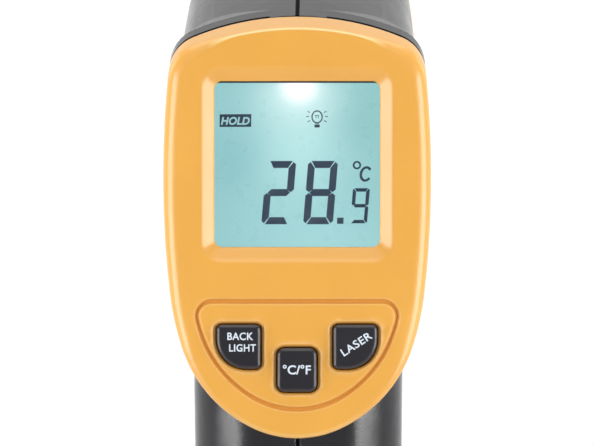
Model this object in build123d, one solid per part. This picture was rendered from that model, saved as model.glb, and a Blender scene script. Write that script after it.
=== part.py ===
from build123d import *
from math import cos, radians, sin
import os

# Pistol-type infrared thermometer, in millimetres.
# +Z is up, +Y is where the nose points, +X is to the right for the person who holds it.
# The origin is the centre of the flat base under the handle.

# Display bezel: its face leans back and looks at the user
FACE_TILT = 20.0
FACE_FOOT = (0, -17.5, 90.0)
BEZEL_ARCS = [(16.45, 25.0), (21.97, 46.94), (45.22, 11.56), (160.23, 12.06), (6.35, 62.04)]
BEZEL_DEPTH = 6.0
BEZEL_WALL = 2.0
COLLAR = (6.1, 10.4, 16.4)
COLLAR_LINE = 0.5
FACE_ROUND = 2.3
SHELL_WALL = 2.0
SEAM_GROOVE = 0.7

# Display opening, centred on the face
OPENING = 26.6
OPENING_MID = 43.95
DISH = (31.4, 32.1)
DISH_MID = 43.85
DISH_DEPTH = 1.4

# Buttons: width, height, middle of each key on the face
SIDE_KEY = (7.15, 7.25)
SIDE_KEY_AT = (9.33, 14.73)
MID_KEY = (6.6, 7.3)
MID_KEY_AT = (0, 11.05)
KEY_PROUD = 0.9
KEY_GAP = 0.3
GROOVE_ARCS = [(14.0, 30.0), (18.5, 35.0), (21.5, 12.0), (2.4, 103.0)]
GROOVE_FOOT = 4.7
GROOVE_WIDTH = 0.75
GROOVE_DEPTH = 0.55

# Circuit board behind the display
BOARD_TOP = -10.0
BOARD = 1.2

# Barrel sections: y, top z, bottom z, half width
BARREL = [(3, 152.0, 103.5, 19.1), (40, 151.2, 107.5, 19.35), (80, 149.0, 112.0, 18.6)]
NOSE_END = 84.0
AIM_Z = 127.5
LASER_Z = 143.2

# Handle sections: z, middle y, half depth, half width, corner radius
HANDLE = [
    (0, 0.0, 16.0, 16.4, 12.0),
    (44, 6.0, 16.2, 16.9, 12.3),
    (88, 12.0, 16.6, 17.3, 12.5),
    (112, 15.3, 16.8, 17.4, 12.5),
]

# Battery door, which turns on a pin at the front of the base
DOOR_PIN = (12.4, 3.7)
DOOR_HEEL = 3.6
DOOR_TOP = 79.0
DOOR_GAP = 0.3

# Standard AAA cells
CELL_R = 5.25
CELL_LENGTH = 44.5
CELL_PITCH = 11.6
HANDLE_LEAN = 7.77

TRIGGER_WIDTH = 12.6

FACE = Plane(
    origin=FACE_FOOT,
    x_dir=(1, 0, 0),
    z_dir=(0, -cos(radians(FACE_TILT)), sin(radians(FACE_TILT))),
)
GRIP = Plane(
    origin=(0, 1.2, 6.5),
    x_dir=(1, 0, 0),
    z_dir=(0, sin(radians(HANDLE_LEAN)), cos(radians(HANDLE_LEAN))),
)
os.makedirs("parts", exist_ok=True)
nodes = {}


# ---------- outlines ----------

def half_outline(segments, foot, inset):
    """Edges from the bottom centre round the right side to the top centre.

    A segment is (radius, degrees turned) or (length, 0). The last arc closes on the centre line.
    """
    edges = []
    x, y, heading = 0.0, foot + inset, 0.0
    for size, turn in segments:
        tangent = (cos(radians(heading)), sin(radians(heading)))
        if turn:
            edge = JernArc((x, y), tangent, size - inset, turn)
        else:
            edge = Line((x, y), (x + size * tangent[0], y + size * tangent[1]))
        edges.append(edge)
        x, y = (edge @ 1).X, (edge @ 1).Y
        heading += turn
    last = 180.0 - heading
    radius = x / sin(radians(last))
    top = y + radius * (1 - cos(radians(last)))
    middle = radians(heading + last / 2)
    centre_y = top - radius
    via = (radius * sin(middle), centre_y - radius * cos(middle))
    edges.append(ThreePointArc((x, y), via, (0, top)))
    return edges


def closed_face(right_edges):
    right = Curve() + right_edges
    return make_face(right + mirror(right, Plane.YZ))


def bezel_outline(inset=0.0):
    return closed_face(half_outline(BEZEL_ARCS, 0.0, inset))


def barrel_section(y, top, bottom, half_width, inset):
    low_turn, high_turn, low_r, high_r = 28.0, 25.0, 9.0, 9.5
    low_big = (half_width - low_r * (1 - sin(radians(low_turn)))) / sin(radians(low_turn))
    high_big = (half_width - high_r * (1 - sin(radians(high_turn)))) / sin(radians(high_turn))
    low_rise = low_big * (1 - cos(radians(low_turn))) + low_r * cos(radians(low_turn))
    high_rise = high_big * (1 - cos(radians(high_turn))) + high_r * cos(radians(high_turn))
    segments = [
        (low_big, low_turn),
        (low_r, 90 - low_turn),
        (top - bottom - low_rise - high_rise, 0),
        (high_r, 90 - high_turn),
    ]
    plane = Plane(origin=(0, y, 0), x_dir=(1, 0, 0), z_dir=(0, -1, 0))
    return plane * closed_face(half_outline(segments, bottom, inset))


def slab(sketch, low, high):
    """A face-parallel slab of the sketch from height low to height high above the bezel face."""
    return extrude(FACE * Pos(0, 0, low) * sketch, amount=high - low)


def bezel_prism(inset, start, end):
    """The bezel outline run along the barrel axis."""
    return extrude(Pos(0, start, 0) * (FACE * bezel_outline(inset)), amount=end - start, dir=(0, 1, 0))


def side_prism(points, half_width):
    """A block with the given side outline, as (y, z) points."""
    outline = make_face(Polyline(*[(0, y, z) for y, z in points], close=True))
    return extrude(outline, amount=half_width, dir=(1, 0, 0), both=True)


def rod(start, end, radius):
    axis = Vector(*end) - Vector(*start)
    return extrude(Plane(origin=start, z_dir=axis) * Circle(radius), amount=axis.length)


def block(x, y, z):
    """A box given by its low and high limits."""
    size = (x[1] - x[0], y[1] - y[0], z[1] - z[0])
    middle = ((x[0] + x[1]) / 2, (y[0] + y[1]) / 2, (z[0] + z[1]) / 2)
    return Pos(*middle) * Box(*size)


# ---------- outer body ----------

def barrel(inset=0.0, end=80.0):
    last = BARREL[-1]
    sections = [barrel_section(*row, inset) for row in BARREL]
    body = loft(sections)
    if inset > 0.5:
        body += extrude(barrel_section(*last, inset), amount=2, dir=(0, 1, 0))
    return body


def handle(inset=0.0):
    sections = []
    for z, middle, half_depth, half_width, corner in HANDLE:
        floor = inset if z == 0 else z
        outline = RectangleRounded(2 * (half_width - inset), 2 * (half_depth - inset), corner - inset)
        sections.append(Pos(0, middle, floor) * outline)
    grip = loft(sections)
    if inset < 0.8:
        grip = fillet(grip.faces().sort_by(Axis.Z)[0].edges(), 1.2)
    return grip


def shoulder(inset=0.0):
    """The collar behind the bezel and the slope from it down to the barrel."""
    small = FACE * scale(bezel_outline(0.0), by=0.87 * (1 - inset / 22))
    lift = FACE.y_dir * (7.8 + 0.5 * inset)
    collar = bezel_prism(inset + 0.05, COLLAR[0] + COLLAR_LINE, COLLAR[1])
    collar += bezel_prism(inset + 0.5, COLLAR[0], COLLAR[0] + COLLAR_LINE + 0.1)
    slope = loft([
        Pos(0, COLLAR[1], 0) * (FACE * bezel_outline(inset + 0.05)),
        Pos(0, COLLAR[2], 0) * Pos(*lift) * small,
    ])
    return collar + slope


def body(inset=0.0):
    behind_bezel = Pos(0, COLLAR[0], 0) * (FACE * Pos(0, 40) * Rectangle(60, 90))
    front_space = extrude(behind_bezel, amount=40, dir=(0, -1, 0))
    return barrel(inset) + handle(inset) + shoulder(inset) - front_space


def turned(points, z):
    """A solid turned about the aiming direction at height z, from (y, radius) points."""
    outline = make_face(Polyline(*[(0, y, z + r) for y, r in points], close=True))
    return revolve(outline, Axis((0, 0, z), (0, 1, 0)))


def face_point(u, v, w):
    return tuple(FACE.from_local_coords((u, v, w)))


def wire(points, radius, bend=3.0):
    path = FilletPolyline(*points, radius=bend)
    return sweep(Plane(origin=path @ 0, z_dir=path % 0) * Circle(radius), path=path)


def side_panel_face(extra):
    """The outline of the coloured panel on the side of the barrel."""
    points = [(18.0, 140.6), (79.0, 138.8), (79.0, 123.6), (50.0, 121.0), (30.0, 118.6), (18.0, 119.4)]
    flat = make_face(Polyline(*points, close=True))
    flat = fillet(flat.vertices(), 3.0)
    if extra:
        flat = offset(flat, amount=extra)
    return Plane.YZ * flat


# ---------- shell halves ----------

outer = body(0.0)
inner = body(SHELL_WALL) + bezel_prism(SHELL_WALL, COLLAR[0] - 0.2, COLLAR[1])
shell = outer - inner
seam = block((-SEAM_GROOVE / 2, SEAM_GROOVE / 2), (-60, 120), (-10, 200))
seam -= block((-3, 3), (-5, 5), (-1, 2.5))
shell -= (outer - body(0.4)) & seam

# Ribs that hold the sensor tube and the laser, and rails for the trigger board
for y in (47.0, 60.5):
    shell += block((-25, 25), (y, y + 1.8), (100, 160)) & inner
for side in (-1, 1):
    shell += (Pos(side * 16.4, 6.7, 95) * Box(16, 1.4, 22)) & inner
shell -= rod((0, 40, AIM_Z), (0, 70, AIM_Z), 7.6)
shell -= rod((0, 55, LASER_Z), (0, 70, LASER_Z), 3.3)
shell -= rod((0, 40, LASER_Z), (0, 55, LASER_Z), 2.2)

# Screw bosses: y, z and how far out the head reaches
SCREWS = [(-9.6, 9.0, 12.2), (-1.6, 69.0, 12.7), (28.5, 113.5, 15.6), (54.0, 116.2, 15.6)]
HEAD = 2.1
for y, z, reach in SCREWS:
    shell += rod((-16, y, z), (16, y, z), 2.7) & inner
    shell += rod((-18, y, z), (3.4 - reach, y, z), 3.3) & inner
for y, z, reach in SCREWS:
    shell -= rod((-25, y, z), (HEAD - reach, y, z), 2.45)
    shell -= rod((-reach, y, z), (9.0, y, z), 1.0)

# Pockets for the side panels
barrel_core = barrel(1.0)
for side in (-1, 1):
    shell -= extrude(side_panel_face(0.15), amount=30 * side) - barrel_core

# Trigger slot
shell -= block((-6.7, 6.7), (20, 45), (85.6, 105.4))

# Battery door, with its heel rounded about the pin
grip = handle(0.0)
heel = rod((-20, *DOOR_PIN), (20, *DOOR_PIN), DOOR_HEEL) & grip
heel_zone = block((-9.0, 9.0), (0, 30), (-5, 12))
door_side = [(DOOR_PIN[0] - 3.4, DOOR_PIN[1]), (14.6, DOOR_TOP), (40, DOOR_TOP), (40, DOOR_PIN[1])]
door = (grip - handle(SHELL_WALL)) & side_prism(door_side, 20)
door -= rod((-20, *DOOR_PIN), (20, *DOOR_PIN), DOOR_HEEL + DOOR_GAP) - heel_zone
door += heel & heel_zone
door -= rod((-20, *DOOR_PIN), (20, *DOOR_PIN), 1.05)
# Thumb ridges at the top of the door
door_edge = grip - handle(0.5)
for z in (63.0, 66.0, 69.0, 72.0):
    door -= door_edge & block((-7.5, 7.5), (15, 40), (z, z + 1.3))
door_space = [
    (DOOR_PIN[0] - 3.4 - DOOR_GAP, DOOR_PIN[1]),
    (14.6 - DOOR_GAP, DOOR_TOP + DOOR_GAP),
    (40, DOOR_TOP + DOOR_GAP),
    (40, -1),
    (DOOR_PIN[0], -1),
]
shell -= side_prism(door_space, 20) & handle(-0.5)
shell -= rod((-9.3, *DOOR_PIN), (9.3, *DOOR_PIN), DOOR_HEEL + DOOR_GAP)
lugs = heel - block((-9.3, 9.3), (0, 30), (-5, 12)) - rod((-12.3, *DOOR_PIN), (12.3, *DOOR_PIN), 1.0)
shell += lugs

# The left half has a tongue across the floor, which locks into the right half
tongue = block((-1, 3), (-5, 5), (-1, 2.5))
notch = block((-1, 3.1), (-5.1, 5.1), (-1, 2.5))
left = shell & (block((-40, -0.03), (-60, 120), (-10, 200)) + tongue)
right = (shell & block((0.03, 40), (-60, 120), (-10, 200))) - notch
nodes["left_shell"] = left
nodes["right_shell"] = right
nodes["battery_door"] = door
nodes["door_pin"] = rod((-12.1, *DOOR_PIN), (12.1, *DOOR_PIN), 0.98)

panel_skin = barrel(-0.12) - barrel(0.9)
for name, side in (("left_side_panel", -1), ("right_side_panel", 1)):
    nodes[name] = panel_skin & extrude(side_panel_face(0.0), amount=30 * side)

case_screws = []
for y, z, reach in SCREWS:
    neck = HEAD - 0.05 - reach
    screw = rod((-reach, y, z), (neck, y, z), 2.1) + rod((neck, y, z), (8.5, y, z), 0.96)
    screw -= block((-reach - 1, 1 - reach), (y - 1.4, y + 1.4), (z - 0.3, z + 0.3))
    screw -= block((-reach - 1, 1 - reach), (y - 0.3, y + 0.3), (z - 1.4, z + 1.4))
    case_screws.append(screw)
nodes["case_screws"] = Compound(children=case_screws)

# ---------- bezel ----------

bezel = bezel_prism(0.0, 0.0, BEZEL_DEPTH)
front = bezel.faces().sort_by(Axis((0, 0, 0), FACE.z_dir))[-1]
bezel = fillet(front.edges(), FACE_ROUND)
bezel -= bezel_prism(BEZEL_WALL, 2.13, BEZEL_DEPTH + 1)

frame_pad = Pos(0, OPENING_MID) * Rectangle(31.4, 31.0)
bezel += slab(frame_pad, -3.2, -1.9)
dish_top = FACE * Pos(0, DISH_MID, 0.01) * RectangleRounded(*DISH, 3.4)
dish_floor = FACE * Pos(0, OPENING_MID, -DISH_DEPTH) * RectangleRounded(OPENING, OPENING, 1.2)
bezel -= loft([dish_top, dish_floor])
bezel -= slab(Pos(0, OPENING_MID) * RectangleRounded(OPENING, OPENING, 1.2), -4, 0)


def groove_outline(inset):
    segments = GROOVE_ARCS
    edges = half_outline(segments[:-1], GROOVE_FOOT, inset)[:-1]
    tip = edges[-1] @ 1
    corner = JernArc((tip.X, tip.Y), tuple(edges[-1] % 1)[:2], segments[-1][0] - inset, segments[-1][1])
    edges.append(corner)
    edges.append(Line(corner @ 1, (0, (corner @ 1).Y)))
    return closed_face(edges)


groove = groove_outline(-GROOVE_WIDTH / 2) - groove_outline(GROOVE_WIDTH / 2)
bezel -= slab(groove, -GROOVE_DEPTH, 1)


def side_key_face(side, grow):
    """Key outline whose outer lower corner follows the groove."""
    width, height = SIDE_KEY
    key = Rectangle(width, height)
    corners = key.vertices().sort_by(Axis.Y)
    low = corners[:2].sort_by(Axis.X)
    outer_low = low[-1] if side > 0 else low[0]
    key = fillet(outer_low, 4.6)
    square = [c for c in key.vertices() if abs(abs(c.X) - width / 2) < 0.01]
    rest = [c for c in square if abs(abs(c.Y) - height / 2) < 0.01]
    key = fillet(rest, 0.8)
    if grow:
        key = offset(key, amount=grow)
    return Pos(side * SIDE_KEY_AT[0], SIDE_KEY_AT[1]) * key


def mid_key_face(side, grow):
    return Pos(*MID_KEY_AT) * RectangleRounded(MID_KEY[0] + 2 * grow, MID_KEY[1] + 2 * grow, 0.8 + grow)


KEYS = {
    "backlight": (-1, side_key_face, SIDE_KEY_AT),
    "units": (0, mid_key_face, MID_KEY_AT),
    "laser": (1, side_key_face, SIDE_KEY_AT),
}
switches = []
for name, (side, outline, (key_u, key_v)) in KEYS.items():
    key_u *= side
    bezel -= slab(outline(side, KEY_GAP), -4, 1)
    cap = slab(outline(side, 0.0), -2.2, KEY_PROUD)
    top = cap.faces().sort_by(Axis((0, 0, 0), FACE.z_dir))[-1]
    cap = fillet(top.edges(), 0.5)
    cap += slab(outline(side, 0.9), -3.2, -2.1)
    cap += slab(Pos(key_u, key_v) * Circle(1.5), -5.5, -3.1)
    nodes[name + "_button"] = cap
    nodes[name + "_plunger"] = slab(Pos(key_u, key_v) * Circle(1.6), -6.5, -5.55)
    switch = slab(Pos(key_u, key_v) * RectangleRounded(6, 6, 0.4), BOARD_TOP, -7.0)
    switch -= slab(Pos(key_u, key_v) * Circle(1.75), -7.6, -6.0)
    switches.append(switch)
nodes["button_switches"] = Compound(children=switches)

# Bosses on the back of the bezel plate that carry the circuit board
BOSSES = [(-14.4, 24.0), (14.4, 24.0), (-13.6, 60.6), (13.6, 60.6)]
for u, v in BOSSES:
    bezel += slab(Pos(u, v) * Circle(1.9), BOARD_TOP, -1.9)
    bezel -= slab(Pos(u, v) * Circle(0.8), BOARD_TOP - 1, -4.0)
nodes["display_bezel"] = bezel

# ---------- display ----------

nodes["lcd_window"] = slab(Pos(0, OPENING_MID) * RectangleRounded(29.0, 29.0, 1.0), -4.25, -3.25)
nodes["lcd_panel"] = slab(Pos(0, 43.4) * Rectangle(29.0, 30.4), -6.5, -4.3)
nodes["backlight_diffuser"] = slab(Pos(0, 44.8) * Rectangle(28.6, 27.6), -9.2, -6.55)
nodes["contact_strip"] = slab(Pos(0, 29.3) * Rectangle(27.0, 1.8), BOARD_TOP, -6.55)
nodes["backlight_led"] = slab(Pos(0, 59.9) * Rectangle(5.6, 1.8), BOARD_TOP, -6.9)

board_face = Pos(0, 3.64) * bezel_outline(4.0) & Pos(0, 36.5) * Rectangle(60, 53.0)
board = slab(board_face, BOARD_TOP - BOARD, BOARD_TOP)
for u, v in BOSSES:
    board -= slab(Pos(u, v) * Circle(0.95), BOARD_TOP - 3, BOARD_TOP + 1)
nodes["display_board"] = board
back = BOARD_TOP - BOARD
nodes["processor"] = slab(Pos(0, 42.0) * Rectangle(12, 12), back - 1.6, back)
CHIPS = [(-10.5, 50, 5, 6.2), (10.5, 50, 5, 6.2), (-10.5, 32, 3.2, 4.8), (10.0, 33, 3.2, 1.6)]
chips = []
for u, v, width, height in CHIPS:
    chips.append(slab(Pos(u, v) * Rectangle(width, height), back - 1.2, back))
nodes["board_chips"] = Compound(children=chips)
PLUGS = {"battery": (-4.6, 19.0), "switch": (3.4, 19.0), "sensor": (3.0, 30.6), "laser": (0.0, 55.4)}
plugs = []
for u, v in PLUGS.values():
    plugs.append(slab(Pos(u, v) * Rectangle(6.0, 3.2), back - 2.6, back))
nodes["wire_plugs"] = Compound(children=plugs)
board_screws = []
for u, v in BOSSES:
    head = slab(Pos(u, v) * Circle(1.6), back - 1.2, back)
    shank = slab(Pos(u, v) * Circle(0.76), back, -5.0)
    slot = slab(Pos(u, v) * Rectangle(0.4, 2.2), back - 1.5, back - 0.6)
    board_screws.append(head + shank - slot)
nodes["board_screws"] = Compound(children=board_screws)

# ---------- nose ----------

tip, tip_top, tip_bottom, tip_width = BARREL[-1]
nose = loft([
    barrel_section(tip + 0.1, tip_top, tip_bottom, tip_width, 0.0),
    barrel_section(tip + 2.6, tip_top - 0.1, tip_bottom + 0.1, tip_width - 0.05, 0.25),
    barrel_section(NOSE_END, tip_top - 0.1, tip_bottom + 0.1, tip_width - 0.05, 1.5),
])
nose += extrude(barrel_section(77.2, tip_top, tip_bottom, tip_width, 2.2), amount=-3.0)
nose -= extrude(barrel_section(76.0, tip_top, tip_bottom, tip_width, 3.4), amount=-4.1)
nose -= turned([(76, 0), (76, 11.75), (82.6, 11.75), (84.5, 13.4), (84.5, 0)], AIM_Z)
nose -= rod((0, 76, LASER_Z), (0, 81.8, LASER_Z), 1.7)
nose -= rod((0, 81.7, LASER_Z), (0, 85, LASER_Z), 2.2)
nodes["nose_ring"] = nose

cone = [(62.4, 5.2), (62.4, 7.4), (64.6, 7.4), (80.4, 11.7), (82.5, 11.7), (82.5, 10.9)]
steps = 6
for i in range(steps):
    y = 80.6 - i * 2.8
    r = 10.9 - i * 0.86
    cone.append((y, r))
    cone.append((y, r - 0.5))
cone.append((65.0, 5.2))
nodes["sensor_cone"] = turned(cone, AIM_Z)
tube = [(40, 5.0), (40, 7.5), (62.3, 7.5), (62.3, 6.2), (60.2, 6.2), (60.2, 5.0)]
nodes["sensor_tube"] = turned(tube, AIM_Z)
lens = [(60.3, 0), (60.3, 6.1), (61.3, 6.1), (61.8, 4.6), (62.1, 2.6), (62.2, 0)]
nodes["ir_lens"] = turned(lens, AIM_Z)
can = turned([(40.05, 0), (40.05, 4.6), (40.8, 4.6), (40.8, 4.1), (44.6, 4.1), (44.6, 0)], AIM_Z)
for x in (-1.8, 1.8):
    for z in (-1.8, 1.8):
        can += rod((x, 37.8, AIM_Z + z), (x, 40.1, AIM_Z + z), 0.22)
nodes["thermopile_sensor"] = can
sensor_board = rod((0, 38.6, AIM_Z), (0, 39.9, AIM_Z), 8.6)
for x in (-1.8, 1.8):
    for z in (-1.8, 1.8):
        sensor_board -= rod((x, 38, AIM_Z + z), (x, 40.5, AIM_Z + z), 0.3)
nodes["sensor_board"] = sensor_board
laser = turned([(52, 0), (52, 2.9), (53, 3.2), (71, 3.2), (72, 2.8), (72, 1.1), (69, 1.1), (69, 0)], LASER_Z)
nodes["laser_module"] = laser
nodes["laser_window"] = rod((0, 81.9, LASER_Z), (0, 82.9, LASER_Z), 2.15)

# ---------- trigger ----------

trigger_side = [
    (21.0, 87.0), (27.5, 86.2), (33.6, 86.4), (35.0, 87.6), (34.0, 91.5), (34.2, 96.0),
    (35.8, 100.5), (38.4, 103.8), (38.4, 104.8), (21.0, 104.8),
]
trigger = side_prism(trigger_side, TRIGGER_WIDTH / 2)
long_edges = trigger.edges().filter_by(Axis.X, reverse=True).group_by(Axis.X)
trigger = fillet([e for e in long_edges[0] + long_edges[-1] if e.center().Y > 31], 1.6)
flange_side = [(22.0, 84.8), (25.3, 84.8), (28.0, 105.6), (24.7, 105.6)]
trigger += side_prism(flange_side, 8.6)
trigger -= block((-5.0, 5.0), (10, 30), (88.2, 103.4))
trigger += block((-5.2, 5.2), (28, 30), (87.5, 104))
trigger += rod((0, 18.2, 91.5), (0, 29, 91.5), 1.8)
trigger += rod((0, 22.0, 99.4), (0, 29, 99.4), 1.7)
nodes["trigger"] = trigger
trigger_board = block((-8.8, 8.8), (7.5, 8.7), (84.4, 105.6))
nodes["trigger_board"] = trigger_board
trigger_switch = block((-3, 3), (8.75, 12.4), (88.5, 94.5)) + rod((0, 12.3, 91.5), (0, 13.6, 91.5), 1.6)
nodes["trigger_switch"] = trigger_switch
coil = Helix(pitch=2.4, height=18.4, radius=2.5)
coil_wire = sweep(Plane(origin=coil @ 0, z_dir=coil % 0) * Circle(0.28), path=coil, is_frenet=True)
lay = Plane(origin=(0, 9.15, 99.4), z_dir=(0, 1, 0))
nodes["trigger_spring"] = lay * coil_wire

# ---------- batteries ----------


def grip_box(x, y, z):
    return GRIP * block(x, y, z)


tray = grip_box((-12.6, 12.6), (-6.8, 3.0), (0, 53.8)) - grip_box((-11.4, 11.4), (-5.5, 4), (1.2, 52.6))
for z in (0.0, 52.6):
    tray += grip_box((-11.5, 11.5), (2.9, 5.2), (z, z + 1.2))
tray += grip_box((-0.25, 0.25), (-5.6, -1.0), (1.1, 52.7))
nodes["battery_tray"] = tray


def cell(x, foot, up):
    """An AAA cell standing on its flat end, or upside down."""
    profile = [(0, 0), (4.3, 0), (4.3, 0.25), (5.05, 0.25), (CELL_R, 0.5), (CELL_R, 43.1)]
    profile += [(5.05, 43.35), (3.6, 43.5), (3.6, 43.6), (1.9, 43.6), (1.9, CELL_LENGTH), (0, CELL_LENGTH)]
    outline = make_face(Polyline(*[(r, 0, z) for r, z in profile], close=True))
    can = revolve(outline, Axis.Z)
    if not up:
        can = Pos(0, 0, CELL_LENGTH) * Rot(180, 0, 0) * can
    return GRIP * Pos(x, 0, foot) * can


nodes["battery_cell_up"] = cell(-CELL_PITCH / 2, 6.2, True)
nodes["battery_cell_down"] = cell(CELL_PITCH / 2, 3.0, False)

upper_plate = grip_box((-9.8, -1.9), (-4.0, 4.0), (50.75, 51.05))
upper_plate += grip_box((-9.8, -9.4), (-4.0, 4.0), (50.75, 52.55))
lower_plate = grip_box((1.9, 9.8), (-4.0, 4.0), (2.65, 2.95))
lower_plate += grip_box((9.4, 9.8), (-4.0, 4.0), (1.25, 2.95))
contact_plates = [upper_plate, lower_plate]
nodes["contact_plates"] = Compound(children=contact_plates)
spring_path = Helix(pitch=0.9, height=3.6, radius=2.9)
spring_wire = sweep(
    Plane(origin=spring_path @ 0, z_dir=spring_path % 0) * Circle(0.25), path=spring_path, is_frenet=True
)
springs = []
for x, z, low in ((-CELL_PITCH / 2, 2.2, 1.3), (CELL_PITCH / 2, 47.9, 52.2)):
    springs.append(GRIP * Pos(x, 0, z) * spring_wire)
    springs.append(grip_box((x - 3.9, x + 3.9), (-4.0, 4.0), (low, low + 0.3)))
nodes["contact_springs"] = Compound(children=springs)

# ---------- wiring ----------

tray_top = GRIP.from_local_coords((-2.0, -5.0, 53.9))
plug_depth = back - 2.7
for name, shift in (("battery_wire_red", 0.8), ("battery_wire_black", -0.8)):
    end = face_point(PLUGS["battery"][0] + shift, PLUGS["battery"][1], plug_depth)
    start = (tray_top.X + 2 * shift, tray_top.Y, tray_top.Z)
    nodes[name] = wire([
        start,
        (start[0], start[1] + 1.5, start[2] + 12),
        (end[0], 5.2, 88.0),
        (end[0], end[1] + 4.2, end[2] - 2.4),
        end,
    ], 0.55, 1.6)
for name, shift in (("laser_wire_red", 0.8), ("laser_wire_black", -0.8)):
    end = face_point(PLUGS["laser"][0] + shift, PLUGS["laser"][1], plug_depth)
    nodes[name] = wire([
        (shift, 51.9, LASER_Z),
        (shift, 43.0, LASER_Z),
        (shift, 33.0, 138.5),
        (shift, end[1] + 6, end[2] - 2.2),
        end,
    ], 0.5)
end = face_point(PLUGS["sensor"][0], PLUGS["sensor"][1], plug_depth)
nodes["sensor_cable"] = wire([
    (3.0, 38.5, AIM_Z + 4.5),
    (3.0, 30.0, AIM_Z + 4.5),
    (3.0, 17.0, end[2] - 3.0),
    end,
], 0.9)
switch_wires = []
for shift in (-0.8, 0.8):
    end = face_point(PLUGS["switch"][0] + shift, PLUGS["switch"][1], plug_depth)
    route = [(end[0], 7.4, 98.0), (end[0], 5.0, 98.0), (end[0], 5.0, end[2] - 1.2), end]
    switch_wires.append(wire(route, 0.45, 0.9))
nodes["switch_wires"] = Compound(children=switch_wires)

for name, shape in nodes.items():
    export_step(shape, f"parts/{name}.step")
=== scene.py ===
from math import atan2, cos, pi, radians, sin, sqrt
import bmesh
import bpy
from mathutils import Matrix, Vector
from mathutils.geometry import delaunay_2d_cdt


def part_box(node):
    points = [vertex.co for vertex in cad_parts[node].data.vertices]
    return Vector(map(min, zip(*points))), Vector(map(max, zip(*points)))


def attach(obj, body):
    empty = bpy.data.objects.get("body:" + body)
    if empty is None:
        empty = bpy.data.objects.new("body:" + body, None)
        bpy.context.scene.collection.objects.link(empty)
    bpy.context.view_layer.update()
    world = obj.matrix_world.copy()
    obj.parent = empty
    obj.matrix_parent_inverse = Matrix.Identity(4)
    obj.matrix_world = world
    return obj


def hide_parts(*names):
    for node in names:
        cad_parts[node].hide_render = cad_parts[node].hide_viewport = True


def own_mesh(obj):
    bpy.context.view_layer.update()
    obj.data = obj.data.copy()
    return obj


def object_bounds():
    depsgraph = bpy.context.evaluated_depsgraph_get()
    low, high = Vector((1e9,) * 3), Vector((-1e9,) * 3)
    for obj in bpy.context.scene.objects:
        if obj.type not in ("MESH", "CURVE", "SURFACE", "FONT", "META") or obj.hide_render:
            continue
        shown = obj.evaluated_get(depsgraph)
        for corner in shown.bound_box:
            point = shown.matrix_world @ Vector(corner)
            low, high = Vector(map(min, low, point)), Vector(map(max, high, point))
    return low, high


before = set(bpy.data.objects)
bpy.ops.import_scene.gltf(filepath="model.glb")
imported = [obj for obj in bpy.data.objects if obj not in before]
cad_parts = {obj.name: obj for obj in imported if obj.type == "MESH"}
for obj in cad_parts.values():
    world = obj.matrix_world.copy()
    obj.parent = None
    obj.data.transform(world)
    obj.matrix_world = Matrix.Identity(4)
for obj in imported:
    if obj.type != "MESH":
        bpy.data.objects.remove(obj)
cad_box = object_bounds()
MM = 0.001

# ---------- the display face: u to the right, v up the face, w out of it, in millimetres ----------

TILT = radians(20.0)
WINDOW_V = 43.95
WINDOW_SUNK = 3.75
N = Vector((0, -cos(TILT), sin(TILT)))
V = Vector((0, sin(TILT), cos(TILT)))
U = Vector((1, 0, 0))
window_low, window_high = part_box("lcd_window")
ORIGIN = (window_low + window_high) / 2 - V * WINDOW_V * MM + N * WINDOW_SUNK * MM


def at(u, v, w=0.0, back=0.0):
    """A point on the face, moved back along the barrel axis by back."""
    return ORIGIN + (U * u + V * v + N * w) * MM + Vector((0, back * MM, 0))


# ---------- outlines as closed loops of (u, v), the same count for every offset ----------

# arcs as (radius, turn in degrees), from the bottom centre up the right side
BEZEL_ARCS = [(16.45, 25.0), (21.97, 46.94), (45.22, 11.56), (160.23, 12.06), (6.35, 62.04)]
GROOVE_ARCS = [(14.0, 30.0), (18.5, 35.0), (21.5, 12.0), (2.4, 103.0)]
GROOVE_FOOT = 4.7


def arc_points(x, y, heading, radius, turn, steps):
    """Points along an arc that leaves (x, y) at heading and turns left, angles in degrees."""
    mid_x = x - radius * sin(radians(heading))
    mid_y = y + radius * cos(radians(heading))
    angles = [radians(heading + turn * k / steps) for k in range(1, steps + 1)]
    return [(mid_x + radius * sin(a), mid_y - radius * cos(a)) for a in angles]


def arc_loop(arcs, foot, inset, close, steps):
    """Right half from the arcs, closed over the top by an "arc" or a "line", and mirrored."""
    x, y, heading = 0.0, foot + inset, 0.0
    right = [(x, y)]
    for radius, turn in arcs:
        right.extend(arc_points(x, y, heading, radius - inset, turn, steps))
        x, y = right[-1]
        heading += turn
    if close == "arc":
        last = 180.0 - heading
        right.extend(arc_points(x, y, heading, x / sin(radians(last)), last, steps))
    else:
        right.extend((x * (1 - k / steps), y) for k in range(1, steps + 1))
    right[-1] = (0.0, right[-1][1])
    left = [(-px, py) for px, py in reversed(right[1:-1])]
    return right + left


def bezel_loop(inset=0.0):
    return arc_loop(BEZEL_ARCS, 0.0, inset, "arc", 30)


def groove_loop(inset):
    return arc_loop(GROOVE_ARCS, GROOVE_FOOT, inset, "line", 16)


def rounded(points, radii, grow=0.0, steps=10):
    """A polygon (anticlockwise) with rounded corners, grown outwards."""
    loop = []
    n = len(points)
    for i in range(n):
        corner = Vector(points[i])
        before = (Vector(points[i - 1]) - corner).normalized()
        after = (Vector(points[(i + 1) % n]) - corner).normalized()
        radius = radii[i]
        centre = corner + (before + after).normalized() * (radius / sin(before.angle(after) / 2))
        start = Vector((before.y, -before.x))
        end = Vector((-after.y, after.x))
        if (corner - centre).dot(start) < 0:
            start = -start
        if (corner - centre).dot(end) < 0:
            end = -end
        first = atan2(start.y, start.x)
        turn = atan2(start.x * end.y - start.y * end.x, start.dot(end))
        for k in range(steps + 1):
            a = first + turn * k / steps
            loop.append((centre.x + (radius + grow) * cos(a), centre.y + (radius + grow) * sin(a)))
    return loop


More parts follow.
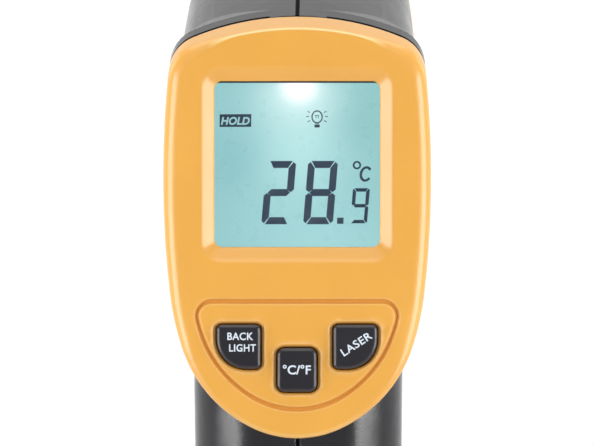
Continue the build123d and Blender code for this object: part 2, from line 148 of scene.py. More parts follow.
def box_loop(mid_u, mid_v, width, height, radius, grow=0.0, steps=10):
    w, h = width / 2, height / 2
    signs = ((-1, -1), (1, -1), (1, 1), (-1, 1))
    return rounded([(mid_u + a * w, mid_v + b * h) for a, b in signs], [radius] * 4, grow, steps)


def between(a, b, t):
    """The loop a share t of the way from loop a to loop b."""
    return [(p[0] + (q[0] - p[0]) * t, p[1] + (q[1] - p[1]) * t) for p, q in zip(a, b)]


def anticlockwise(loop):
    area = sum(a[0] * b[1] - b[0] * a[1] for a, b in zip(loop, loop[1:] + loop[:1]))
    return loop if area > 0 else list(reversed(loop))


def inside(point, loop):
    x, y = point
    odd = False
    for (x1, y1), (x2, y2) in zip(loop, loop[1:] + loop[:1]):
        if (y1 > y) != (y2 > y) and x < x1 + (y - y1) / (y2 - y1) * (x2 - x1):
            odd = not odd
    return odd


def region(outer, holes, spacing=0.0, margin=0.35):
    """Triangles that fill outer but not the holes, with an even net of points inside."""
    loops = [outer] + holes
    points = []
    edges = []
    for loop in loops:
        start = len(points)
        points.extend(Vector(p) for p in loop)
        n = len(loop)
        edges.extend((start + i, start + (i + 1) % n) for i in range(n))

    def filled(point):
        return inside(point, outer) and not any(inside(point, hole) for hole in holes)

    if spacing:
        xs = [p[0] for p in outer]
        ys = [p[1] for p in outer]
        fixed = [p for loop in loops for p in loop]
        y = min(ys) + spacing / 2
        row = 0
        while y < max(ys):
            x = min(xs) + (spacing / 2 if row % 2 else 0)
            while x < max(xs):
                if filled((x, y)) and min((x - a) ** 2 + (y - b) ** 2 for a, b in fixed) > margin ** 2:
                    points.append(Vector((x, y)))
                x += spacing
            y += spacing * 0.87
            row += 1
    found = delaunay_2d_cdt(points, edges, [], 0, 1e-5)
    verts, faces = found[0], found[2]
    kept = []
    for face in faces:
        centre = [sum(verts[i][k] for i in face) / len(face) for k in (0, 1)]
        if filled(centre):
            kept.append(tuple(face))
    return [(p.x, p.y) for p in verts], kept


# ---------- mesh building ----------

class Skin:
    """Collects points and faces for one mesh.

    The faces in shaded take its second material, a painted shade, and the weights held for each point draw a
    painted highlight line.
    """

    def __init__(self):
        self.points = []
        self.faces = []
        self.shaded = []
        self.painted_highlight = {}

    def ring(self, points):
        start = len(self.points)
        self.points.extend(points)
        return list(range(start, start + len(points)))

    def join(self, a, b):
        """A band of faces between two rings."""
        n = len(a)
        for i in range(n):
            j = (i + 1) % n
            self.faces.append((a[i], a[j], b[j], b[i]))

    def stack(self, rings):
        for a, b in zip(rings, rings[1:]):
            self.join(a, b)

    def shade(self, first):
        """Faces from number first on take the second material, a painted shade."""
        self.shaded.extend(range(first, len(self.faces)))

    def cap(self, ring, flip=False):
        self.faces.append(tuple(reversed(ring)) if flip else tuple(ring))

    def fill(self, outer, holes, place, spacing, margin=0.35):
        """An even net of triangles. place turns (u, v) into a point."""
        verts, faces = region(outer, holes, spacing, margin)
        ids = self.ring([place(u, v) for u, v in verts])
        self.faces.extend(tuple(ids[i] for i in face) for face in faces)

    def make(self, name, material, body="housing", smooth=True, angle=40, second=None):
        mesh = bpy.data.meshes.new(name)
        mesh.from_pydata([tuple(p) for p in self.points], [], self.faces)
        obj = bpy.data.objects.new(name, mesh)
        bpy.context.scene.collection.objects.link(obj)
        mesh.materials.append(material)
        # the points' weights of the painted highlight line
        if self.painted_highlight:
            painted_highlight = mesh.attributes.new("painted_edge_highlight", "FLOAT", "POINT")
            for i, weight in self.painted_highlight.items():
                painted_highlight.data[i].value = weight
        if second:
            mesh.materials.append(second)
            for i in self.shaded:
                mesh.polygons[i].material_index = 1
        mesh.validate()
        weld(mesh, angle, smooth)
        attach(obj, body)
        return obj


def weld(mesh, angle, smooth):
    """Joins points that coincide and leaves edges sharper than angle, in degrees, crisp."""
    bm = bmesh.new()
    bm.from_mesh(mesh)
    bmesh.ops.remove_doubles(bm, verts=bm.verts, dist=1e-6)
    bmesh.ops.recalc_face_normals(bm, faces=bm.faces)
    for face in bm.faces:
        face.smooth = smooth
    for edge in bm.edges:
        if len(edge.link_faces) == 2:
            edge.smooth = edge.calc_face_angle(0.0) < radians(angle)
    bm.to_mesh(mesh)
    bm.free()


def block(name, loop, front, back, material):
    """A flat solid inside the case, between two heights over the face."""
    skin = Skin()
    rings = [skin.ring([at(u, v, w) for u, v in loop]) for w in (front, back)]
    skin.stack(rings)
    skin.cap(rings[0])
    skin.cap(rings[1], flip=True)
    return skin.make(name, material, "housing", smooth=False)


def flat(name, shapes, height, thick, material):
    """Thin marks on the face. Each shape is an outline and a list of its holes."""
    skin = Skin()
    for outline, holes in shapes:
        verts, faces = region(outline, holes)
        top = skin.ring([at(u, v, height + thick) for u, v in verts])
        base = skin.ring([at(u, v, height) for u, v in verts])
        for face in faces:
            skin.faces.append(tuple(top[i] for i in face))
            skin.faces.append(tuple(base[i] for i in reversed(face)))
        for loop in [outline] + holes:
            skin.join(skin.ring([at(u, v, height + thick) for u, v in loop]),
                      skin.ring([at(u, v, height) for u, v in loop]))
    return skin.make(name, material, "housing", smooth=False)


# ---------- materials ----------

class Nodes:
    """A material's node tree, with short calls to add to it."""

    def __init__(self, name):
        self.material = bpy.data.materials.new(name)
        self.material.use_nodes = True
        self.tree = self.material.node_tree
        self.shader = self.tree.nodes["Principled BSDF"]
        self.coord = self.tree.nodes.new("ShaderNodeTexCoord")

    def add(self, kind, **values):
        """A node; each value is one of its settings or, failing that, one of its inputs."""
        node = self.tree.nodes.new("ShaderNode" + kind)
        for key, value in values.items():
            if hasattr(node, key):
                setattr(node, key, value)
            else:
                node.inputs[key.replace("_", " ")].default_value = value
        return node

    def link(self, a, b):
        self.tree.links.new(a, b)

    def fix(self, socket, value):
        """A value that is the same all over, on the shader's own socket."""
        self.shader.inputs[socket].default_value = value

    def feed(self, socket, value):
        """A value that varies over the surface."""
        self.link(value, self.shader.inputs[socket])

    def noise(self, scale, detail=3.0, rough=0.5, stretch=None):
        node = self.add("TexNoise", Scale=scale, Detail=detail, Roughness=rough)
        source = self.coord.outputs["Object"]
        if stretch:
            mapping = self.add("Mapping", Scale=stretch)
            self.link(source, mapping.inputs["Vector"])
            source = mapping.outputs["Vector"]
        self.link(source, node.inputs["Vector"])
        return node.outputs["Fac"]

    def spread(self, value, low, high, low_at=0.3, high_at=0.7):
        """Maps value from low_at..high_at to low..high, and clamps it."""
        node = self.add("MapRange", From_Min=low_at, From_Max=high_at, To_Min=low, To_Max=high)
        self.link(value, node.inputs["Value"])
        return node.outputs["Result"]

    def mix(self, factor, a, b):
        """From colour a to colour b, each a socket or three numbers."""
        node = self.add("Mix", data_type="RGBA")
        self.link(factor, node.inputs["Factor"])
        for k, colour in ((6, a), (7, b)):
            if isinstance(colour, tuple):
                node.inputs[k].default_value = (*colour, 1.0)
            else:
                self.link(colour, node.inputs[k])
        return node.outputs[2]

    def blend(self, factor, value, end):
        """Fade a value socket towards a fixed number."""
        node = self.add("Mix", data_type="FLOAT")
        self.link(factor, node.inputs[0])
        self.link(value, node.inputs[2])
        node.inputs[3].default_value = end
        return node.outputs[0]

    def maths(self, operation, a, b):
        node = self.add("Math", operation=operation)
        for k, value in ((0, a), (1, b)):
            if isinstance(value, (int, float)):
                node.inputs[k].default_value = value
            else:
                self.link(value, node.inputs[k])
        return node.outputs[0]

    def bump(self, height, strength, distance, before=None):
        node = self.add("Bump", Strength=strength, Distance=distance)
        self.link(height, node.inputs["Height"])
        if before:
            self.link(before, node.inputs["Normal"])
        return node.outputs["Normal"]


def srgb(r, g, b):
    def linear(c):
        c /= 255.0
        return c / 12.92 if c <= 0.04045 else ((c + 0.055) / 1.055) ** 2.4
    return (linear(r), linear(g), linear(b))


GRAIN_HEIGHT = 0.00002
CLOUD_SCALE = 55.0
GLOSS_SCALE = 140.0
# the dark line at the seam ends between these distances from the middle plane
SEAM_HALF = 0.00026
SEAM_FADED = 0.00036


def plastic(name, dark, light, rough=(0.4, 0.5), grain=2600.0, grain_strength=0.25, specular=0.5,
            coat=0.0, coat_rough=0.2, edge_tint=None, edge_tint_amount=0.0, edge_width=0.0004, painted_highlight=None, seam=False):
    """Moulded plastic: cloudy colour, uneven gloss, fine spark-eroded grain and paler edges."""
    n = Nodes(name)
    cloud = n.noise(CLOUD_SCALE, 4.0, 0.6)
    colour = n.mix(n.spread(cloud, 0.0, 1.0), dark, light)
    fine = n.noise(grain, 2.0, 0.6)
    rounded_edge = None
    if edge_tint:
        # a bevelled normal softens the moulded edges; where it leaves the true one the edge takes a paler
        # tint, which on the orange is a painted highlight
        rounded_edge = n.add("Bevel", samples=4, Radius=edge_width).outputs["Normal"]
        facing = n.add("VectorMath", operation="DOT_PRODUCT")
        n.link(rounded_edge, facing.inputs[0])
        n.link(n.add("NewGeometry").outputs["Normal"], facing.inputs[1])
        edge = n.spread(facing.outputs["Value"], edge_tint_amount, 0.0, 0.80, 0.97)
        colour = n.mix(edge, colour, edge_tint)
    if painted_highlight:
        # a painted highlight: a paler line follows the points that the mesh marks
        mark = n.add("Attribute", attribute_name="painted_edge_highlight")
        colour = n.mix(mark.outputs["Fac"], colour, painted_highlight)
    gloss = n.spread(n.noise(GLOSS_SCALE, 5.0, 0.65), *rough)
    if seam:
        # the joint between the two halves is a shadowed, matt line
        split = n.add("SeparateXYZ")
        n.link(n.coord.outputs["Object"], split.inputs["Vector"])
        aside = n.add("Math", operation="ABSOLUTE")
        n.link(split.outputs["X"], aside.inputs[0])
        line = n.spread(aside.outputs[0], 1.0, 0.0, SEAM_HALF, SEAM_FADED)
        colour = n.mix(line, colour, (0.0015, 0.0015, 0.0015))
        gloss = n.blend(line, gloss, 1.0)
    n.feed("Base Color", colour)
    n.feed("Roughness", gloss)
    n.feed("Normal", n.bump(fine, grain_strength, GRAIN_HEIGHT, rounded_edge))
    n.fix("Specular IOR Level", specular)
    if coat:
        n.fix("Coat Weight", coat)
        n.fix("Coat Roughness", coat_rough)
    return n.material


def metal(name, dark, light, rough=(0.22, 0.38), stretch=(1, 1, 1)):
    n = Nodes(name)
    lines = n.noise(900.0, 3.0, 0.6, stretch)
    n.feed("Base Color", n.mix(n.spread(n.noise(120.0), 0.0, 1.0), dark, light))
    n.feed("Roughness", n.spread(lines, *rough))
    n.feed("Normal", n.bump(lines, 0.12, GRAIN_HEIGHT))
    n.fix("Metallic", 1.0)
    return n.material


# on the orange, the paler edges and the pale line are painted highlight
ORANGE = plastic("orange_plastic", (0.665, 0.330, 0.057), (0.705, 0.352, 0.064), rough=(0.34, 0.42),
                 grain=1900.0, grain_strength=0.08, coat=0.35, coat_rough=0.16, edge_tint=(0.93, 0.70, 0.36),
                 edge_tint_amount=0.8, edge_width=0.0005, painted_highlight=(0.80, 0.60, 0.26))
# painted shade: a deeper orange for the groove and the dishes round the keys
CREASE_SHADE = plastic("orange_crease_shade", (0.600, 0.255, 0.040), (0.640, 0.272, 0.046), rough=(0.34, 0.42),
                 grain=1900.0, grain_strength=0.08, coat=0.2, coat_rough=0.16)
BLACK = plastic("black_shell_plastic", (0.007, 0.007, 0.0085), (0.011, 0.011, 0.013), rough=(0.17, 0.25),
                grain=2900.0, grain_strength=0.55, specular=0.36, edge_tint=(0.03, 0.03, 0.032),
                edge_tint_amount=0.35, seam=True)
KEY = plastic("key_rubberised", (0.012, 0.011, 0.015), (0.019, 0.018, 0.023), rough=(0.34, 0.42),
              grain=2400.0, grain_strength=0.45, specular=0.4, coat=0.45, coat_rough=0.20,
              edge_tint=(0.05, 0.05, 0.055), edge_tint_amount=0.3)
CONE = plastic("cone_plastic", (0.012, 0.012, 0.012), (0.018, 0.018, 0.019), rough=(0.55, 0.7))
NOSE = plastic("nose_plastic", (0.016, 0.016, 0.018), (0.024, 0.024, 0.026), rough=(0.24, 0.34),
               grain=1500.0, grain_strength=0.2, edge_tint=(0.10, 0.10, 0.105), edge_tint_amount=0.5)
BOARD = plastic("board_green", (0.008, 0.075, 0.03), (0.012, 0.10, 0.045), rough=(0.25, 0.4), grain=700.0)
CHIP = plastic("chip_black", (0.012, 0.012, 0.013), (0.02, 0.02, 0.021), rough=(0.5, 0.62))
PLUG = plastic("plug_white", (0.60, 0.57, 0.48), (0.68, 0.65, 0.56), rough=(0.4, 0.52))
WHITE = plastic("diffuser_white", (0.72, 0.75, 0.76), (0.82, 0.85, 0.86), rough=(0.3, 0.4))
GREY = plastic("grey_rubber", (0.13, 0.13, 0.135), (0.18, 0.18, 0.185), rough=(0.6, 0.75))
RED_WIRE = plastic("red_insulation", (0.42, 0.02, 0.012), (0.52, 0.03, 0.02), rough=(0.35, 0.48))
BLACK_WIRE = plastic("black_insulation", (0.012, 0.012, 0.012), (0.02, 0.02, 0.02), rough=(0.35, 0.5))
CELL = plastic("cell_sleeve", (0.03, 0.07, 0.20), (0.045, 0.095, 0.26), rough=(0.15, 0.25), coat=0.3)
STEEL = metal("screw_steel", (0.42, 0.42, 0.43), (0.58, 0.58, 0.59))
NICKEL = metal("nickel", (0.60, 0.59, 0.56), (0.72, 0.71, 0.68), rough=(0.16, 0.3))
BRASS = metal("turned_brass", (0.62, 0.44, 0.17), (0.75, 0.56, 0.25), stretch=(1, 30, 1))
GAP_SHADOW = plastic("gap_shadow", (0.003, 0.003, 0.0035), (0.005, 0.005, 0.0055), rough=(0.9, 1.0), specular=0.02)
LENS = plastic("lens_coated", (0.03, 0.022, 0.02), (0.05, 0.032, 0.03), rough=(0.06, 0.12), coat=0.8,
               coat_rough=0.05)
INK = plastic("key_print", (0.55, 0.62, 0.70), (0.62, 0.69, 0.76), rough=(0.5, 0.62))


def clear_window():
    n = Nodes("clear_window")
    n.fix("Base Color", (1, 1, 1, 1))
    n.fix("Transmission Weight", 1.0)
    n.fix("IOR", 1.05)
    n.feed("Roughness", n.spread(n.noise(300.0, 4.0), 0.01, 0.03))
    return n.material


NATURAL_BASE = 2.718


def lit_screen():
    """Backlit liquid crystal glass: pale cyan, brightest under the lamp at the top middle."""
    n = Nodes("lit_screen")
    # places on the face in millimetres, from the object coordinates
    split = n.add("SeparateXYZ")
    n.link(n.coord.outputs["Object"], split.inputs["Vector"])
    u = n.maths("MULTIPLY", split.outputs["X"], 1.0 / MM)
    v_from_y = n.maths("MULTIPLY", n.maths("SUBTRACT", split.outputs["Y"], ORIGIN.y), V.y / MM)
    v_from_z = n.maths("MULTIPLY", n.maths("SUBTRACT", split.outputs["Z"], ORIGIN.z), V.z / MM)
    v = n.maths("ADD", v_from_y, v_from_z)

    def blob(mid_u, mid_v, reach_u, reach_v, sharp=1.0):
        """1 at its middle, fading like a bell curve."""
        a = n.maths("POWER", n.maths("DIVIDE", n.maths("SUBTRACT", u, mid_u), reach_u), 2.0)
        b = n.maths("POWER", n.maths("DIVIDE", n.maths("SUBTRACT", v, mid_v), reach_v), 2.0)
        away = n.maths("POWER", n.maths("ADD", a, b), sharp)
        return n.maths("POWER", NATURAL_BASE, n.maths("MULTIPLY", away, -1.0))

    colour = n.mix(blob(0.5, 47.0, 7.5, 10.0), srgb(150, 205, 207), srgb(186, 233, 233))
    colour = n.mix(blob(4.0, 30.5, 12.0, 7.0), colour, srgb(166, 219, 221))
    colour = n.mix(blob(-11.0, 45.0, 4.5, 6.0), colour, srgb(143, 200, 205))
    colour = n.mix(blob(11.0, 52.0, 4.5, 6.0), colour, srgb(146, 202, 203))
    colour = n.mix(blob(0.3, 55.6, 5.6, 4.6, 0.9), colour, srgb(226, 255, 255))
    colour = n.mix(blob(0.3, 56.6, 2.8, 2.6, 1.4), colour, (1.25, 1.25, 1.25))
    speckle = n.spread(n.noise(2200.0, 2.0, 0.7), 0.0, 0.06)
    n.feed("Emission Color", n.mix(speckle, colour, (0.5, 0.8, 0.82)))
    n.fix("Emission Strength", 0.93)
    n.fix("Base Color", (0.02, 0.03, 0.03, 1))
    n.feed("Roughness", n.spread(n.noise(400.0), 0.25, 0.35))
    return n.material


def glow_mark(name, colour):
    n = Nodes(name)
    dimmer = tuple(c * 0.95 for c in colour)
    n.feed("Emission Color", n.mix(n.spread(n.noise(900.0), 0.0, 1.0), dimmer, colour))
    n.fix("Emission Strength", 0.9)
    n.fix("Base Color", (0.02, 0.02, 0.02, 1))
    n.feed("Roughness", n.spread(n.noise(900.0), 0.4, 0.5))
    return n.material


CLEAR = clear_window()
SCREEN = lit_screen()
SEGMENT = glow_mark("screen_segment", srgb(35, 56, 78))
SEGMENT_GAP = glow_mark("screen_clear", srgb(160, 212, 214))
LED = glow_mark("lamp_lit", (1.0, 1.0, 1.0))

# the CAD nodes that are shown as they are
CARRIED = {
    BLACK: ["left_shell", "right_shell", "battery_door"],
    NOSE: ["nose_ring"],
    ORANGE: ["left_side_panel", "right_side_panel", "trigger"],
    STEEL: ["case_screws", "board_screws", "door_pin"],
    WHITE: ["backlight_diffuser"],
    LED: ["backlight_led"],
    GREY: ["contact_strip", "sensor_cable"],
    BOARD: ["display_board", "sensor_board", "trigger_board"],
    CHIP: ["processor", "board_chips", "button_switches", "trigger_switch",
           "backlight_plunger", "units_plunger", "laser_plunger"],
    PLUG: ["wire_plugs"],
    CONE: ["sensor_cone", "sensor_tube", "battery_tray"],
    LENS: ["ir_lens"],
    NICKEL: ["thermopile_sensor", "contact_plates", "contact_springs"],
    BRASS: ["laser_module"],
    CELL: ["battery_cell_up", "battery_cell_down"],
    RED_WIRE: ["battery_wire_red", "laser_wire_red"],
    BLACK_WIRE: ["battery_wire_black", "laser_wire_black", "switch_wires"],
    CLEAR: ["laser_window", "lcd_window"],
}
for material, names in CARRIED.items():
    for name in names:
        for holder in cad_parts[name].material_slots:
            holder.material = material

# ---------- bezel ----------

DISH = dict(mid_u=0.0, mid_v=43.85, width=31.4, height=32.1, radius=3.6, steps=16)
HOLE = dict(mid_u=0.0, mid_v=WINDOW_V, width=26.6, height=26.6, radius=1.25, steps=16)
DISH_DEPTH = 1.45
WINDOW_BACK = 3.2
BEZEL_DEPTH = 6.0
BEZEL_WALL = 1.9
GROOVE_HALF = 0.40
GROOVE_DEPTH = 0.40
HALF_WIDTH = 19.0
CROWN = 0.22
SIDE_EDGE = 2.4
TOP_EDGE = 0.42
# (how far outside the key, height): a low lip, a shallow dish and the narrow gap round the key
KEY_RIM = ((0.72, 0.0), (0.68, 0.045), (0.62, 0.075), (0.57, 0.055), (0.52, 0.005), (0.46, -0.035),
           (0.38, -0.065), (0.30, -0.10), (0.24, -0.13), (0.20, -0.18), (0.16, -0.24), (0.13, -0.34),
           (0.12, -2.0))
LIP_BANDS = 6

KEYS = ("backlight", "units", "laser")
UNITS_KEY = dict(mid_u=0.0, mid_v=11.0, width=6.35, height=6.86, radius=1.08)
UNITS_BOW = 0.19
SIDE_KEY = dict(left=5.80, right=12.86, low=11.13, high=18.27)
SIDE_KEY_TIGHT = 0.85
SIDE_KEY_BROAD = 4.8


def share(value, start, length):
    """How far value is along a stretch, from 0 to 1."""
    return min(1.0, max(0.0, (value - start) / length))


def key_loop(name, grow=0.0):
    """The outline of a key, grown outwards. The side keys are mirror images."""
    if name == "units":
        loop = box_loop(**UNITS_KEY, grow=grow)
        half = UNITS_KEY["width"] / 2 + grow
        middle_v = UNITS_KEY["mid_v"]
        return [(u, v + (UNITS_BOW if v > middle_v else -UNITS_BOW) * (1 - (u / half) ** 2)) for u, v in loop]
    left, right, low, high = SIDE_KEY.values()
    points = [(left, low), (right, low), (right, high), (left, high)]
    radii = [SIDE_KEY_TIGHT, SIDE_KEY_BROAD, SIDE_KEY_TIGHT, SIDE_KEY_TIGHT]
    if name == "backlight":
        order = (1, 0, 3, 2)
        points = [(-points[i][0], points[i][1]) for i in order]
        radii = [radii[i] for i in order]
    return rounded(points, radii, grow, 14)


def edge_radius(u, v):
    """How far the face rolls over into the side wall.

    It is tight along the top, broad on the sides and less broad at the foot.
    """
    tight = share(v, 56.0, 8.0) * (1 - share(abs(u), 9.0, 9.0) ** 2)
    foot = share(-v, -16.0, 14.0)
    return SIDE_EDGE * (1 - tight) * (1 - 0.55 * foot) + TOP_EDGE * tight


def crown(u, v):
    """The face is a little higher along its middle than at its sides."""
    return -CROWN * (abs(u) / HALF_WIDTH) ** 2.4


def on_crown(u, v, w=0.0, back=0.0):
    return at(u, v, w + crown(u, v), back)


def bezel_side(skin):
    """The side wall and the rounding into the face. Returns the loop where the face begins."""
    outline = bezel_loop()
    ahead = outline[1:] + outline[:1]
    behind = outline[-1:] + outline[:-1]
    normals = [Vector((q[1] - p[1], p[0] - q[0])).normalized() for p, q in zip(behind, ahead)]
    radii = [edge_radius(u, v) for u, v in outline]
    # the rounding is drawn back along the barrel, so the lower edge is let out to keep its line
    lifted = [sin(TILT) * max(0.0, -d.y) for d in normals]
    let_out = [r * (1 + k - sqrt(1 + k * k)) for r, k in zip(radii, lifted)]
    outline = [(u + d.x * g, v + d.y * g) for (u, v), d, g in zip(outline, normals, let_out)]

    def inwards(by):
        return [(u - d.x * b, v - d.y * b) for (u, v), d, b in zip(outline, normals, by)]

    rings = []
    # (inset, depth behind the face), from the inner edge of the back outwards and then forward
    for inset, depth in ((BEZEL_WALL, BEZEL_DEPTH), (0.12, BEZEL_DEPTH), (0.0, BEZEL_DEPTH - 0.12),
                         (0.0, 4.5), (0.0, 3.2)):
        loop = inwards([inset] * len(outline))
        rings.append(skin.ring([at(u, v, 0, depth) for u, v in loop]))
    steps = 12
    for k in range(steps + 1):
        a = pi / 2 * k / steps
        loop = inwards([r * (1 - cos(a)) for r in radii])
        rings.append(skin.ring([on_crown(u, v, 0.0, r * (1 - sin(a))) for (u, v), r in zip(loop, radii)]))
        # a painted highlight line runs along the rounding where it is tight, brightest two thirds of the way
        # forward
        near = min(1.0, max(0.0, 1.6 - abs(k - 8) / 2.5))
        for i, r in zip(rings[-1], radii):
            skin.painted_highlight[i] = near * share(-r, -1.3, 0.8)
    skin.stack(rings)
    return loop


def bezel_dish(skin, dish, hole):
    """The slope down to the window, and the wall of the window behind it."""
    rings = []
    steps = 14
    for k in range(steps + 1):
        # the slope starts gently, is steepest half way and eases towards its foot
        t = k / steps
        depth = -DISH_DEPTH * (t * t * (3.0 - 2.0 * t) * 0.45 + t ** 1.5 * 0.55)
        loop = between(dish, hole, t * 0.985)
        rings.append(skin.ring([at(u, v, depth + crown(u, v) * (1 - t)) for u, v in loop]))
    for grow, depth in ((0.02, 1.50), (0.0, 1.58), (0.0, WINDOW_BACK), (BEZEL_WALL, WINDOW_BACK)):
        loop = box_loop(**HOLE, grow=grow)
        rings.append(skin.ring([at(u, v, -depth) for u, v in loop]))
    skin.stack(rings)


def bezel_groove(skin, outer, inner):
    """The groove round the keys, in the deeper orange of painted shade."""
    rings = []
    steps = 12
    for k in range(steps + 1):
        t = k / steps
        depth = -GROOVE_DEPTH * (1 - abs(2 * t - 1) ** 1.5)
        rings.append(skin.ring([on_crown(u, v, depth) for u, v in between(outer, inner, t)]))
    first = len(skin.faces)
    skin.stack(rings)
    skin.shade(first)


def key_rim(skin, name):
    """The lip and the dish round a key, with painted shade, a deeper orange, in the dish."""
    rings = [skin.ring([on_crown(u, v, depth) for u, v in key_loop(name, grow)]) for grow, depth in KEY_RIM]
    skin.stack(rings[:LIP_BANDS + 1])
    first = len(skin.faces)
    skin.stack(rings[LIP_BANDS:])
    skin.shade(first)


def build_bezel():
    skin = Skin()
    edge = bezel_side(skin)
    dish = box_loop(**DISH)
    groove_out = groove_loop(-GROOVE_HALF)
    groove_in = groove_loop(GROOVE_HALF)
    rims = [key_loop(name, KEY_RIM[0][0]) for name in KEYS]
    skin.fill(edge, [dish, groove_out], on_crown, 1.1)
    skin.fill(groove_in, rims, on_crown, 1.1)
    bezel_dish(skin, dish, box_loop(**HOLE))
    bezel_groove(skin, groove_out, groove_in)
    for name in KEYS:
        key_rim(skin, name)
    bezel = skin.make("bezel_skin", ORANGE, "housing", angle=50, second=CREASE_SHADE)
    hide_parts("display_bezel")


def build_gap_shadow_strip():
    """A matt strip that lies in the gap between the bezel and the case, as painted shadow."""
    skin = Skin()
    front, back = BEZEL_DEPTH - 0.05, BEZEL_DEPTH + 0.92
    corners = ((0.02, back), (0.02, front), (1.5, front), (1.5, back))
    rings = [skin.ring([at(u, v, 0, depth) for u, v in bezel_loop(inset)]) for inset, depth in corners]
    skin.stack(rings + rings[:1])
    skin.make("gap_shadow_strip", GAP_SHADOW, "housing")


build_bezel()
build_gap_shadow_strip()

# ---------- keys ----------

KEY_HEIGHT = 0.80
KEY_FOOT = -2.1
KEY_ROUND = 0.62


def build_key(name):
    """A cap with a rounded edge that stands a little above the face."""
    skin = Skin()
    heights = [(0.0, KEY_FOOT), (0.0, KEY_HEIGHT - KEY_ROUND)]
    steps = 8
    for k in range(1, steps + 1):
        a = pi / 2 * k / steps
        heights.append((-KEY_ROUND * (1 - cos(a)), KEY_HEIGHT - KEY_ROUND * (1 - sin(a))))
    rings = [skin.ring([at(u, v, height) for u, v in key_loop(name, grow)]) for grow, height in heights]
    skin.stack(rings)
    skin.fill(key_loop(name, -KEY_ROUND), [], lambda u, v: at(u, v, KEY_HEIGHT), 0.6, 0.2)
    skin.cap(rings[0], flip=True)
    cap = skin.make(name + "_key_cap", KEY, name + "_key", angle=50)
    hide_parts(name + "_button")


for name in KEYS:
    build_key(name)

# ---------- lips behind the sides of the battery door ----------

# (height, middle in y, half depth, half width, corner radius) of the handle, in mm
HANDLE = ((0, 0.0, 16.0, 16.4, 12.0), (44, 6.0, 16.2, 16.9, 12.3), (88, 12.0, 16.6, 17.3, 12.5))
# (y, z) of the ends of the slit beside the door
DOOR_EDGE = ((9.0, 3.7), (14.6, 79.0))
LIP_LOW, LIP_HIGH = 10.0, 78.2
LIP_AHEAD = 1.3
LIP_WIDTH = 2.8
LIP_THICK = 0.7
LIP_INSET = 2.15  # from the handle's surface


def lip_section(z):
    """(x, y) points round the lip on the right side at height z."""
    low, high = HANDLE[:2] if z < HANDLE[1][0] else HANDLE[1:]
    t = (z - low[0]) / (high[0] - low[0])
    middle_y, depth, width, corner = (a + (b - a) * t for a, b in zip(low[1:], high[1:]))
    (y0, z0), (y1, z1) = DOOR_EDGE
    slit = y0 + (y1 - y0) * (z - z0) / (z1 - z0)
    outer = []
    for k in range(5):
        y = slit - LIP_AHEAD + LIP_WIDTH * k / 4
        past = max(0.0, abs(y - middle_y) - (depth - corner))
        outer.append((width - corner + sqrt((corner - LIP_INSET) ** 2 - past ** 2), y))
    return outer + [(x - LIP_THICK, y) for x, y in reversed(outer)]


def build_lip(name, side):
    """A strip inside the case that closes the slit between the door and the shell."""
    skin = Skin()
    rings = []
    for k in range(25):
        z = LIP_LOW + (LIP_HIGH - LIP_LOW) * k / 24
        rings.append(skin.ring([Vector((side * x, y, z)) * MM for x, y in lip_section(z)]))
    skin.stack(rings)
    skin.cap(rings[0])
    skin.cap(rings[-1], flip=True)
    skin.make(name, CONE, "housing")


build_lip("door_lip_left", -1)
build_lip("door_lip_right", 1)

# ---------- trigger spring, in metres ----------

SPRING_WIRE = 0.00028
SPRING_TURNS = 8


def build_spring():
    """A compression spring with closed ends, at the length of the trigger spring in the part."""
    low, high = (Vector(p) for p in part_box("trigger_spring"))
    radius = (high.x - low.x) / 2 - SPRING_WIRE
    length = high.y - low.y - 2 * SPRING_WIRE
    closed = 2.1 * SPRING_WIRE
    steps, sides = 26, 10
    skin = Skin()
    rings = []
    for k in range(SPRING_TURNS * steps + 1):
        turn = k / steps
        if turn < 1:
            y = closed * turn
        elif turn > SPRING_TURNS - 1:
            y = length - closed * (SPRING_TURNS - turn)
        else:
            y = closed + (length - 2 * closed) * (turn - 1) / (SPRING_TURNS - 2)
        out = Vector((cos(2 * pi * turn), 0, sin(2 * pi * turn)))
        centre = Vector(((low.x + high.x) / 2, low.y + SPRING_WIRE + y, (low.z + high.z) / 2)) + out * radius
        angles = [2 * pi * i / sides for i in range(sides)]
        rings.append(skin.ring([centre + (out * cos(b) + Vector((0, 1, 0)) * sin(b)) * SPRING_WIRE
                                for b in angles]))
    skin.stack(rings)
    skin.cap(rings[0])
    skin.cap(rings[-1], flip=True)
    spring = skin.make("trigger_coil", NICKEL, "housing")
    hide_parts("trigger_spring")
    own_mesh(spring)


build_spring()

# ---------- lettering ----------

CAPITAL = 0.729  # height of a capital letter in the built-in font


def on_face(mid_u, base_v, height, turn):
    """Places for lettering on the face, turned by an angle in degrees."""
    c, s = cos(radians(turn)), sin(radians(turn))

    def place(x, y, z):
        return at(mid_u + x * c - y * s, base_v + x * s + y * c, height + z)
    return place


def text_mesh(name, words, size, place, material, body, thicken=0.0, squeeze=1.0, slant=0.0,
              spacing=1.0, depth=0.02):
    """Words with capitals of that size, as a thin solid. place turns (x, y, height) into a point."""
    curve = bpy.data.curves.new(name + "_font", "FONT")
    curve.body = words
    curve.size = 1.0
    curve.align_x = "CENTER"
    curve.align_y = "BOTTOM_BASELINE"
    curve.space_character = spacing
    curve.resolution_u = 6
    curve.offset = thicken
    curve.shear = slant
    curve.extrude = 0.5
    holder = bpy.data.objects.new(name + "_font", curve)
    bpy.context.scene.collection.objects.link(holder)
    bpy.context.view_layer.update()
    mesh = bpy.data.meshes.new_from_object(holder)
    bpy.data.objects.remove(holder)
    bpy.data.curves.remove(curve)
    for p in mesh.vertices:
        x, y, z = p.co
        p.co = place(x * size / CAPITAL * squeeze, y * size / CAPITAL, (z + 0.5) * depth)
    obj = bpy.data.objects.new(name, mesh)
    bpy.context.scene.collection.objects.link(obj)
    mesh.materials.clear()
    mesh.materials.append(material)
    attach(obj, body)


